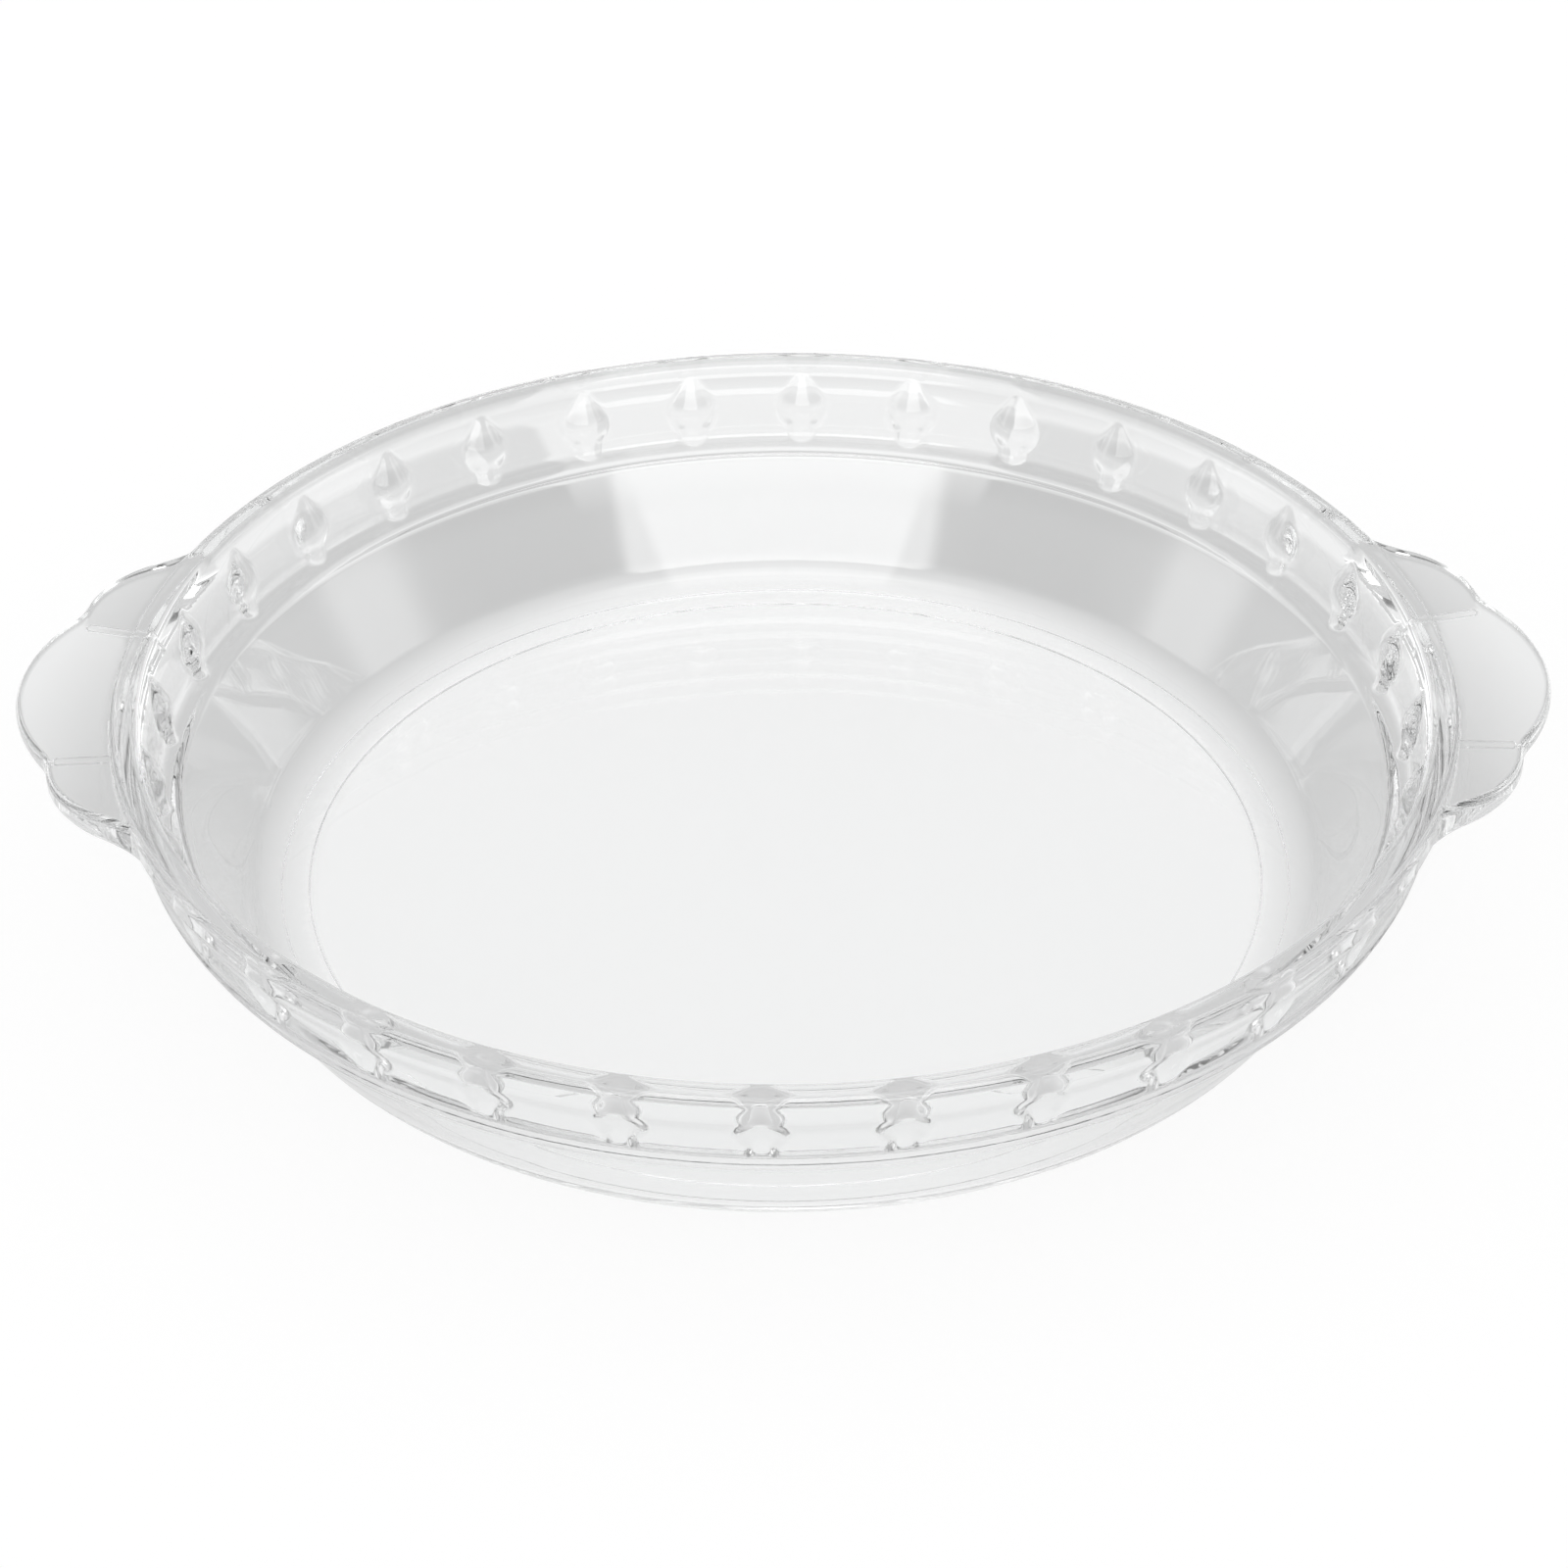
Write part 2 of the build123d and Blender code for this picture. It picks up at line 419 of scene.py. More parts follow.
def new_geometry_tree(name: str, inputs: dict[str, object]) -> tuple[bpy.types.NodeTree, dict]:
    """Starts a Geometry Nodes tree with a geometry in, a geometry out and named inputs.

    Args:
        name: Name of the tree.
        inputs: Default value of each input, by name. A whole number makes an integer input.

    Returns:
        The tree, and its inputs as fields by name, with the geometry as a socket.
    """
    tree = bpy.data.node_groups.new(name, "GeometryNodeTree")
    tree.interface.new_socket("Geometry", in_out="INPUT", socket_type="NodeSocketGeometry")
    tree.interface.new_socket("Geometry", in_out="OUTPUT", socket_type="NodeSocketGeometry")
    for label, value in inputs.items():
        kind = "NodeSocketInt" if isinstance(value, int) else "NodeSocketFloat"
        tree.interface.new_socket(label, in_out="INPUT", socket_type=kind).default_value = value
    entry = tree.nodes.new("NodeGroupInput")
    fields = {label: Field(tree, entry.outputs[label]) for label in inputs}
    fields["Geometry"] = entry.outputs["Geometry"]
    return tree, fields


def end_geometry_tree(tree: bpy.types.NodeTree, shape: bpy.types.NodeSocket,
                      material: bpy.types.Material) -> None:
    """Ends a Geometry Nodes tree with Realize Instances and Set Material.

    Args:
        tree: The tree.
        shape: Geometry that the tree has made.
        material: Material of the result.
    """
    real = add_node(tree, "GeometryNodeRealizeInstances", Geometry=shape)
    dressed = add_node(
        tree, "GeometryNodeSetMaterial", Geometry=real.outputs[0], Material=material
    )
    leave = tree.nodes.new("NodeGroupOutput")
    tree.links.new(dressed.outputs[0], leave.inputs["Geometry"])


def run_tree(piece: bpy.types.Object, tree: bpy.types.NodeTree,
             values: dict[str, object]) -> None:
    """Runs a Geometry Nodes tree on a piece and keeps the result as its plain mesh.

    Args:
        piece: Object whose mesh goes in.
        tree: The tree.
        values: Value of each named input.
    """
    modifier = piece.modifiers.new(tree.name, "NODES")
    modifier.node_group = tree
    for item in tree.interface.items_tree:
        if item.in_out == "INPUT" and item.name in values:
            modifier[item.identifier] = values[item.name]
    settle(piece)


def settle(piece: bpy.types.Object) -> None:
    """Turns a piece's modifiers into its plain mesh and removes them.

    Args:
        piece: Object with modifiers.
    """
    depsgraph = bpy.context.evaluated_depsgraph_get()
    depsgraph.update()
    made = bpy.data.meshes.new_from_object(piece.evaluated_get(depsgraph), depsgraph=depsgraph)
    old = piece.data
    piece.modifiers.clear()
    piece.data = made
    bpy.data.meshes.remove(old)
    made.name = piece.name


def new_piece(name: str, points: Iterable[tuple], faces: Iterable[tuple],
              material: bpy.types.Material) -> bpy.types.Object:
    """Makes an object at the origin from points and faces.

    Args:
        name: Name of the object and its mesh.
        points: Places of its points.
        faces: Indices of each face's points.
        material: Its material.

    Returns:
        The object.
    """
    mesh = bpy.data.meshes.new(name)
    mesh.from_pydata(list(points), [], list(faces))
    mesh.materials.append(material)
    mesh.validate()
    piece = bpy.data.objects.new(name, mesh)
    bpy.context.scene.collection.objects.link(piece)
    return piece


@dataclass
class Ring:
    """One ring of points round the axis."""

    radius: float
    level: float
    columns: int
    fluted: bool
    first: int = 0

    @property
    def points(self) -> int:
        """How many points the ring has: one on the axis."""
        return self.columns if self.radius > 0 else 1

    def index(self, column: int) -> int:
        """Index of the point in a column."""
        return self.first + column % self.points


@dataclass
class FlutedBowl:
    """The bowl of the dish, with the flutes of its band."""

    section: GlassSection
    material: bpy.types.Material
    flute_count: int = 32
    flute_turn: float = math.radians(-2.4)
    drop_high: Ball = Ball(4.2 * MM, 1.6 * MM, 0.6 * MM)
    drop_low: Ball = Ball(10.6 * MM, 5.7 * MM, 2.4 * MM)
    neck_high: Ball = Ball(10.6 * MM, 2.8 * MM, 1.5 * MM)
    neck_low: Ball = Ball(18.0 * MM, 2.8 * MM, 1.5 * MM)
    softness: float = 1.8 * MM
    plain_columns: int = 6
    finer: int = 6
    crowding: float = 0.5
    flute_gap: float = 0.45 * MM
    plain_gap: float = 8.0 * MM
    rings: list[Ring] = field(default_factory=list)

    @property
    def flute_columns(self) -> int:
        """Columns for one flute, a whole number for each plain one, so that rings join up."""
        return self.plain_columns * self.finer

    @property
    def swells(self) -> tuple[Swell, Swell]:
        """The drop and the neck of a flute."""
        return (
            Swell("Drop", self.section, self.drop_high, self.drop_low),
            Swell("Neck", self.section, self.neck_high, self.neck_low),
        )

    def make(self) -> bpy.types.Object:
        """Makes the bowl.

        Returns:
            Closed mesh object of the bowl, without its handles.
        """
        self.rings = list(self.lay_rings())
        bowl = self.turn_rings("glass_dish")
        self.press_flutes(bowl)
        return bowl

    def lay_rings(self) -> Iterator[Ring]:
        """Lays the rings of the whole section, finer where the flutes are.

        Yields:
            The rings, from the middle of the floor round to the middle of the underside.
        """
        inside = self.spaced(self.section.inner_line(), Wall.INSIDE)
        outside = self.spaced(self.section.outer_line(), Wall.OUTSIDE)
        first = 0
        for radius, level, wall in [*inside, *outside]:
            fluted = self.holds_flutes(radius, level, wall)
            each = self.flute_columns if fluted else self.plain_columns
            ring = Ring(radius, level, each * self.flute_count, fluted, first)
            first += ring.points
            yield ring

    def spaced(self, line: list[tuple[float, float]], wall: Wall) -> Iterator[tuple]:
        """Points of a section line, with more on its long stretches.

        Args:
            line: Points of the line, as radius and level.
            wall: Side of the glass that the line is on.

        Yields:
            Radius, level and wall of each point.
        """
        for start, end in zip(line, line[1:]):
            middle = [(one + two) / 2 for one, two in zip(start, end)]
            gap = self.flute_gap if self.holds_flutes(*middle, wall) else self.plain_gap
            steps = max(1, math.ceil(math.dist(start, end) / gap))
            for step in range(steps):
                share = step / steps
                yield (
                    start[0] + (end[0] - start[0]) * share,
                    start[1] + (end[1] - start[1]) * share,
                    wall,
                )
        yield (*line[-1], wall)

    def holds_flutes(self, radius: float, level: float, wall: Wall) -> bool:
        """Whether the flutes reach a place of the section.

        Args:
            radius: Radius of the place.
            level: Level of the place.
            wall: Side of the glass that it is on.

        Returns:
            True on the inside, from the nose of the ledge to the rounded top of the lip.
        """
        high = self.section.height - self.section.lip_top_edge
        on_band = radius > self.section.wall.radius + self.section.ledge_nose_fillet / 2
        return wall is Wall.INSIDE and on_band and level < high

    def turn_rings(self, name: str) -> bpy.types.Object:
        """Joins the rings into a closed mesh, and marks where the flutes may reach.

        Args:
            name: Name of the object.

        Returns:
            The bowl, still without flutes.
        """
        points = []
        for ring in self.rings:
            for column in range(ring.points):
                angle = self.angle_of(column / ring.points)
                points.append((
                    ring.radius * math.cos(angle), ring.radius * math.sin(angle), ring.level,
                ))
        faces = []
        for here, after in zip(self.rings, self.rings[1:]):
            faces.extend(self.strip(here, after))
        bowl = new_piece(name, points, faces, self.material)
        shares = [float(ring.fluted) for ring in self.rings for _ in range(ring.points)]
        marks = bowl.data.attributes.new(FLUTED_ATTRIBUTE, "FLOAT", "POINT")
        marks.data.foreach_set("value", shares)
        return bowl

    def angle_of(self, share: float) -> float:
        """Angle of a column, with the columns drawn together at the flutes.

        Args:
            share: Share of the whole turn at which the column would lie if all were even.

        Returns:
            Angle of the column from +X.
        """
        crowded = self.crowding * math.sin(FULL_TURN * share * self.flute_count)
        return self.flute_turn + FULL_TURN * share - crowded / self.flute_count

    @staticmethod
    def strip(here: Ring, after: Ring) -> Iterator[tuple]:
        """Faces between two rings, whose point counts divide each other.

        Args:
            here: The first ring.
            after: The next ring along the section. Either may be one point on the axis.

        Yields:
            Indices of each face's points.
        """
        if here.points == 1:
            for k in range(after.points):
                yield (here.first, after.index(k), after.index(k + 1))
        elif after.points == 1:
            for k in range(here.points):
                yield (here.index(k), after.first, here.index(k + 1))
        elif here.points == after.points:
            for k in range(here.points):
                yield (here.index(k), after.index(k), after.index(k + 1), here.index(k + 1))
        else:
            flipped = here.points > after.points
            fine, coarse = (here, after) if flipped else (after, here)
            each = fine.points // coarse.points
            for k in range(coarse.points):
                short = [fine.index(k * each + step) for step in range(each + 1)]
                yield from FlutedBowl.fan(coarse.index(k), coarse.index(k + 1), short, flipped)

    @staticmethod
    def fan(left: int, right: int, fine: list[int], flipped: bool) -> Iterator[tuple]:
        """Triangles between one long step of a ring and the short steps of the other.

        Args:
            left: Point at the start of the long step.
            right: Point at its end.
            fine: Points of the short steps.
            flipped: Whether the ring with the short steps comes first.

        Yields:
            Indices of each triangle's points.
        """
        half = len(fine) // 2
        for k, (one, two) in enumerate(zip(fine, fine[1:])):
            apex = left if k < half else right
            yield (apex, two, one) if flipped else (apex, one, two)
        yield (left, right, fine[half]) if flipped else (left, fine[half], right)

    def press_flutes(self, bowl: bpy.types.Object) -> None:
        """Swells the flutes, by a node tree on the bowl.

        Args:
            bowl: The bowl without flutes, which gets them.
        """
        values = {
            "Flute Count": self.flute_count,
            "Flute Turn": self.flute_turn,
            "Softness": self.softness,
        }
        for swell in self.swells:
            values |= swell.inputs()
        tree, given = new_geometry_tree("press_flutes", values)
        x, y, z = separate(tree, add_node(tree, "GeometryNodeInputPosition").outputs[0])
        radius = (x.squared() + y.squared()).root()
        pitch = (given["Flute Count"] * 0 + FULL_TURN) / given["Flute Count"]
        turned = y.math("ARCTAN2", x) - given["Flute Turn"] + pitch * 0.5
        from_flute = turned.math("FLOORED_MODULO", pitch) - pitch * 0.5
        aside = radius * from_flute.math("SINE")
        swollen = radius
        for swell in self.swells:
            front = self.swell_front(given, swell.name, aside, z)
            swollen = swollen.math("SMOOTH_MIN", front, given["Softness"])
        marks = add_node(
            tree, "GeometryNodeInputNamedAttribute", {"data_type": "FLOAT"},
            Name=FLUTED_ATTRIBUTE,
        )
        change = Field(tree, marks.outputs["Attribute"]) * (swollen - radius)
        scale = (change + radius) / radius.math("MAXIMUM", HAIR)
        place = add_node(
            tree, "ShaderNodeCombineXYZ", X=x * scale, Y=y * scale, Z=z
        )
        moved = add_node(
            tree, "GeometryNodeSetPosition", Geometry=given["Geometry"],
            Position=place.outputs[0],
        )
        end_geometry_tree(tree, moved.outputs[0], self.material)
        run_tree(bowl, tree, values)

    @staticmethod
    def swell_front(given: dict, name: str, aside: Field, level: Field) -> Field:
        """Radius at which the front of a swelling lies, seen from the axis of the dish.

        Args:
            given: Named inputs of the tree.
            name: Name of the swelling.
            aside: Distance from the upright plane through the flute.
            level: Height of the point.

        Returns:
            The nearest of its two balls and of the cone that touches both. Beside them the
            radius grows with the distance.
        """
        size = {
            label.removeprefix(name + " "): value
            for label, value in given.items() if label.startswith(name)
        }
        below = level - size["High Level"]
        beside = aside.squared()
        low = size["Low Ball"].squared() - beside - (level - size["Low Level"]).squared()
        high = size["High Ball"].squared() - beside - below.squared()
        balls = (size["Low Radius"] - low.root()).math(
            "MINIMUM", size["High Radius"] - high.root()
        )
        start = size["High Ball"] * size["Flare"]
        climb = below * size["Fall"] + start
        slim = size["Slimness"].squared()
        steep = slim - size["Run"].squared()
        constant = slim * high * -1 - climb.squared()
        middle = size["Run"] * climb
        reach = (middle - (middle.squared() - steep * constant).root()) / steep
        along = reach * size["Run"] + below * size["Fall"]
        end = size["Length"] - size["Low Ball"] * size["Flare"]
        on_cone = (along + start).math("GREATER_THAN", 0) * along.math("LESS_THAN", end)
        cone = size["High Radius"] + reach - on_cone + 1
        return balls.math("MINIMUM", cone)


def separate(tree: bpy.types.NodeTree, vector: bpy.types.NodeSocket) -> tuple[Field, ...]:
    """X, Y and Z of a vector."""
    node = add_node(tree, "ShaderNodeSeparateXYZ", Vector=vector)
    return tuple(Field(tree, output) for output in node.outputs)


@dataclass(frozen=True)
class Disc:
    """A circle of the handle's outline."""

    x: float
    y: float
    radius: float

    def towards(self, other: "Disc") -> float:
        """Angle from this disc's centre to another's."""
        return math.atan2(other.y - self.y, other.x - self.x)

    def touching(self, other: "Disc", fillet: float) -> "Disc":
        """Disc of a fillet that touches this disc and another from outside.

        Args:
            other: The other disc.
            fillet: Radius of the fillet.

        Returns:
            The fillet's disc, to the right of the way from this disc to the other.
        """
        apart = math.hypot(other.x - self.x, other.y - self.y)
        one = self.radius + fillet
        two = other.radius + fillet
        along = (one**2 - two**2 + apart**2) / (2 * apart)
        aside = math.sqrt(one**2 - along**2)
        heading = self.towards(other)
        return Disc(
            self.x + along * math.cos(heading) + aside * math.sin(heading),
            self.y + along * math.sin(heading) - aside * math.cos(heading),
            fillet,
        )


@dataclass
class LobedHandles:
    """The two flat handles, flat on top and thinner at the tip, with ribs under them."""

    section: GlassSection
    material: bpy.types.Material
    top: float
    bottom: float
    reach: float
    tip_thickness: float = 3.1 * MM
    edge: float = 1.5 * MM
    lobe: float = 39.7 * MM
    side_lobe: float = 22.0 * MM
    side_lobe_inset: float = 8.7 * MM
    side_lobe_offset: float = 23.6 * MM
    notch_fillet: float = 10.0 * MM
    root_fillet: float = 22.0 * MM
    join_fillet: float = 1.5 * MM
    sink: float = 0.04 * MM
    chord: float = 1.0 * MM
    fewest_steps: int = 4
    edge_steps: int = 8
    web_steps: int = 22
    handles: int = 2
    ribs_a_handle: int = 2
    rib_angle: float = math.radians(9.6)
    rib_length: float = 11.5 * MM
    rib_width: float = 1.9 * MM
    rib_height: float = 0.6 * MM
    rib_edge: float = 0.4 * MM
    rib_root: float = 0.15 * MM

    @property
    def root_radius(self) -> float:
        """Radius at which the underside meets the outside of the lip."""
        return self.section.flank_radius(self.bottom)

    @property
    def climb(self) -> float:
        """Angle by which the underside climbs towards the tip, from level."""
        rise = self.top - self.bottom - self.tip_thickness
        return math.atan2(rise, self.reach - self.root_radius)

    def make(self) -> list[bpy.types.Object]:
        """Makes both handles and their ribs.

        Returns:
            Closed mesh objects that overlap the bowl: two handles and the ribs.
        """
        outline = self.outline()
        handles = [self.flange("right", outline, 1), self.flange("left", outline, -1)]
        return [*handles, self.ribs()]

    def half_outline(self) -> list[tuple[float, float, float, float]]:
        """Half of the right handle's outline, from its tip to its root on the far side.

        Returns:
            Place and outward direction of each point.
        """
        dish = Disc(0, 0, self.root_radius - self.sink)
        main = Disc(self.reach - self.lobe, 0, self.lobe)
        side = Disc(
            self.reach - self.side_lobe_inset - self.side_lobe, self.side_lobe_offset,
            self.side_lobe,
        )
        notch = main.touching(side, self.notch_fillet)
        root = side.touching(dish, self.root_fillet)
        arcs = [
            (main, 0.0, main.towards(notch)),
            (notch, notch.towards(main), notch.towards(side)),
            (side, side.towards(notch), side.towards(root)),
            (root, root.towards(side), root.towards(dish)),
        ]
        points = []
        for disc, start, end in arcs:
            turn = math.remainder(end - start, FULL_TURN)
            steps = max(self.fewest_steps, math.ceil(abs(turn) * disc.radius / self.chord))
            outward = 1 if turn > 0 else -1
            for step in range(steps):
                angle = start + turn * step / steps
                normal = (outward * math.cos(angle), outward * math.sin(angle))
                points.append((
                    disc.x + disc.radius * math.cos(angle),
                    disc.y + disc.radius * math.sin(angle), *normal,
                ))
        return points

    def outline(self) -> list[tuple[float, float, float, float]]:
        """Whole outline of the right handle, from its near root to its far root.

        Returns:
            Place and outward direction of each point.
        """
        upper = self.half_outline()
        lower = [(x, -y, nx, -ny) for x, y, nx, ny in upper[:0:-1]]
        return [*lower, *upper]

    def row_places(self, x: float, y: float, nx: float, ny: float) -> Iterator[tuple]:
        """Points of one row of the flange, round its section and back.

        Args:
            x: Place of the outline along X.
            y: Place of the outline along Y.
            nx: X of the outward direction there.
            ny: Y of the outward direction there.

        Yields:
            Places of the row's points.
        """
        edge_x = x - nx * self.edge
        edge_y = y - ny * self.edge
        for share in self.web_shares(edge_x, edge_y):
            yield self.topmost(edge_x * share, edge_y * share)
        for step in range(1, self.edge_steps + 1):
            angle = RIGHT_ANGLE * (1 - step / self.edge_steps)
            out = self.edge * math.cos(angle)
            yield (
                edge_x + nx * out, edge_y + ny * out,
                self.top + self.edge * (math.sin(angle) - 1),
            )
        far = math.hypot(edge_x, edge_y)
        climb = math.atan(math.tan(self.climb) * (edge_x * nx + edge_y * ny) / far)
        centre = self.plain_bottom(far) + self.edge / math.cos(climb)
        for step in range(self.edge_steps):
            angle = (RIGHT_ANGLE - climb) * step / self.edge_steps
            out = self.edge * math.cos(angle)
            yield (edge_x + nx * out, edge_y + ny * out, centre - self.edge * math.sin(angle))
        under_x = edge_x + nx * self.edge * math.sin(climb)
        under_y = edge_y + ny * self.edge * math.sin(climb)
        for share in reversed(self.web_shares(under_x, under_y)):
            yield self.lowest(under_x * share, under_y * share)

    def web_shares(self, x: float, y: float) -> list[float]:
        """Shares of the way from the axis to a place, from inside the glass of the band.

        Args:
            x: Place along X.
            y: Place along Y.

        Returns:
            Shares that rise to 1, closer together near the band.
        """
        core = self.section.band_inner_radius(self.bottom) + self.section.glass / 2
        shrink = core / math.hypot(x, y)
        steps = [step / self.web_steps for step in range(self.web_steps + 1)]
        return [shrink + (1 - shrink) * step**2 for step in steps]

    def plain_bottom(self, radius: float) -> float:
        """Level of the underside at a radius, without its fillets."""
        return self.bottom + (radius - self.root_radius) * math.tan(self.climb)

    def topmost(self, x: float, y: float) -> tuple[float, float, float]:
        """Point on top of the flange, raised in the fillet against the rim lip.

        Args:
            x: Place along X.
            y: Place along Y.

        Returns:
            The point.
        """
        edge = self.section.lip_top_edge
        lip_radius = self.section.rim_radius - edge
        step = self.top - (self.section.height - edge) + self.join_fillet
        apart = edge + self.join_fillet - self.sink
        run = math.sqrt(apart**2 - step**2)
        into = lip_radius + run - math.hypot(x, y)
        into = min(max(into, 0.0), run * self.join_fillet / apart)
        return (x, y, self.top + self.join_fillet - math.sqrt(self.join_fillet**2 - into**2))

    def lowest(self, x: float, y: float) -> tuple[float, float, float]:
        """Point under the flange, drawn down in the fillet against the lip.

        Args:
            x: Place along X.
            y: Place along Y.

        Returns:
            The point.
        """
        radius = math.hypot(x, y)
        flank = self.section.lip_flank.heading
        opening = self.climb + math.pi - flank
        away = self.join_fillet / math.sin(opening / 2)
        heading = self.climb - opening / 2
        closer = self.sink / math.sin(opening)
        centre = self.root_radius + away * math.cos(heading) - closer * math.cos(self.climb)
        level = self.bottom + away * math.sin(heading) - closer * math.sin(self.climb)
        across = max(radius - centre, -self.join_fillet * math.sin(flank))
        touching = self.join_fillet * -math.sin(self.climb)
        if across > touching:
            return (x, y, self.plain_bottom(radius))
        return (x, y, level + math.sqrt(self.join_fillet**2 - across**2))

    def flange(self, side_name: str, outline: list[tuple], side: int) -> bpy.types.Object:
        """One handle as a closed mesh that reaches into the wall of the bowl.

        Args:
            side_name: Name of the handle's side.
            outline: Outline of the right handle.
            side: 1 for the right handle and -1 for the left one.

        Returns:
            The handle.
        """
        rows = [list(self.row_places(*point)) for point in outline]
        around = len(rows[0])
        points = [(side * x, y, z) for row in rows for x, y, z in row]
        faces = []
        for number in range(len(rows) - 1):
            for k in range(around):
                on = (k + 1) % around
                low = number * around
                high = low + around
                faces.append((low + k, low + on, high + on, high + k))
        faces.append(tuple(range(around))[::-1])
        faces.append(tuple(range((len(rows) - 1) * around, len(rows) * around)))
        piece = new_piece(f"{side_name}_flange", points, faces, self.material)
        face_outwards(piece.data)
        return piece

    def rib_bar(self) -> bpy.types.Object:
        """One rib along X under the flange, with a round far end and rounded lower edges.

        Returns:
            The rib, which starts inside the glass of the lip.
        """
        half = self.rib_width / 2
        plan = [(-self.rib_width, -half, 0.0, -1.0)]
        steps = 2 * self.edge_steps
        for step in range(steps + 1):
            angle = -RIGHT_ANGLE + math.pi * step / steps
            plan.append((
                self.rib_length - half + half * math.cos(angle), half * math.sin(angle),
                math.cos(angle), math.sin(angle),
            ))
        plan.append((-self.rib_width, half, 0.0, 1.0))
        levels = [(-self.rib_root, self.rib_root)]
        for step in range(self.edge_steps + 1):
            angle = RIGHT_ANGLE * step / self.edge_steps
            levels.append((
                self.rib_root * (math.sin(angle) - 1),
                self.rib_root * (math.cos(angle) - 1) + self.sink,
            ))
        for step in range(self.edge_steps + 1):
            angle = RIGHT_ANGLE * step / self.edge_steps
            levels.append((
                self.rib_edge * (1 - math.cos(angle)),
                self.rib_edge * (1 - math.sin(angle)) - self.rib_height,
            ))
        cosine, sine = math.cos(self.climb), math.sin(self.climb)
        points = [
            (
                self.root_radius + (x - nx * inset) * cosine - level * sine,
                y - ny * inset,
                self.bottom + (x - nx * inset) * sine + level * cosine,
            )
            for inset, level in levels for x, y, nx, ny in plan
        ]
        around = len(plan)
        faces = [
            (row * around + k, row * around + (k + 1) % around,
             (row + 1) * around + (k + 1) % around, (row + 1) * around + k)
            for row in range(len(levels) - 1) for k in range(around)
        ]
        faces.append(tuple(range(around)))
        faces.append(tuple(range((len(levels) - 1) * around, len(levels) * around)))
        bar = new_piece("handle_ribs", points, faces, self.material)
        face_outwards(bar.data)
        return bar

    def ribs(self) -> bpy.types.Object:
        """All the ribs of both handles, from one bar, by a node tree.

        Returns:
            One object with the four ribs.
        """
        values = {
            "Rib Angle": self.rib_angle,
            "Ribs A Handle": self.ribs_a_handle,
            "Handles": self.handles,
        }
        tree, given = new_geometry_tree("set_ribs", values)
        count = given["Ribs A Handle"] * given["Handles"]
        spots = add_node(tree, "GeometryNodePoints", Count=count)
        number = Field(tree, add_node(tree, "GeometryNodeInputIndex").outputs[0])
        place = number.math("FLOORED_MODULO", given["Ribs A Handle"])
        handle = (number / given["Ribs A Handle"]).math("FLOOR")
        spread = (place * 2 - given["Ribs A Handle"] + 1) * given["Rib Angle"]
        angle = spread + handle * math.pi
        rotation = add_node(tree, "ShaderNodeCombineXYZ", Z=angle)
        placed = add_node(
            tree, "GeometryNodeInstanceOnPoints", Points=spots.outputs[0],
            Instance=given["Geometry"], Rotation=rotation.outputs[0],
        )
        end_geometry_tree(tree, placed.outputs[0], self.material)
        bar = self.rib_bar()
        run_tree(bar, tree, values)
        return bar


def face_outwards(mesh: bpy.types.Mesh) -> None:
    """Turns the faces of a closed mesh outwards.

    Args:
        mesh: The mesh.
    """
    work = bmesh.new()
    work.from_mesh(mesh)
    bmesh.ops.recalc_face_normals(work, faces=work.faces)
    if work.calc_volume(signed=True) < 0:
        bmesh.ops.reverse_faces(work, faces=work.faces)
    work.to_mesh(mesh)
    work.free()


def open_edges(mesh: bpy.types.Mesh) -> int:
    """How many edges of a mesh don't have exactly two faces.

    Args:
        mesh: The mesh.

    Returns:
        Count of those edges, 0 for a closed mesh.
    """
    work = bmesh.new()
    work.from_mesh(mesh)
    count = sum(not edge.is_manifold for edge in work.edges)
    work.free()
    return count


@dataclass
class GlassDish:
    """The whole dish as one glass: the bowl, its handles and their ribs."""

    bowl: FlutedBowl
    handles: LobedHandles
    crease: float = math.radians(38)

    def make(self) -> bpy.types.Object:
        """Makes the dish and gives it to the frame.

        Returns:
            The finished piece.
        """
        dish = self.bowl.make()
        for part in self.handles.make():
            self.fuse(dish, part)
        self.smooth(dish)
        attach(dish, "root")
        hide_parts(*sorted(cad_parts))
        return dish

    @staticmethod
    def fuse(dish: bpy.types.Object, part: bpy.types.Object) -> None:
        """Fuses a part into the dish, so that no face is left inside the glass.

        Args:
            dish: The dish so far.
            part: Closed mesh that overlaps it, and is used up.
        """
        union = dish.modifiers.new("fuse", "BOOLEAN")
        union.operation = "UNION"
        union.solver = "MANIFOLD"
        union.object = part
        settle(dish)
        bpy.data.objects.remove(part)

    def smooth(self, dish: bpy.types.Object) -> None:
        """Shades the dish smoothly, and keeps its flat stretches flat.

        Args:
            dish: The finished mesh.
        """
        mesh = dish.data
        mesh.polygons.foreach_set("use_smooth", [True] * len(mesh.polygons))
        mesh.set_sharp_from_angle(angle=self.crease)
        weighted = dish.modifiers.new("flat stretches", "WEIGHTED_NORMAL")
        weighted.mode = "FACE_AREA"
        weighted.keep_sharp = True
        settle(dish)


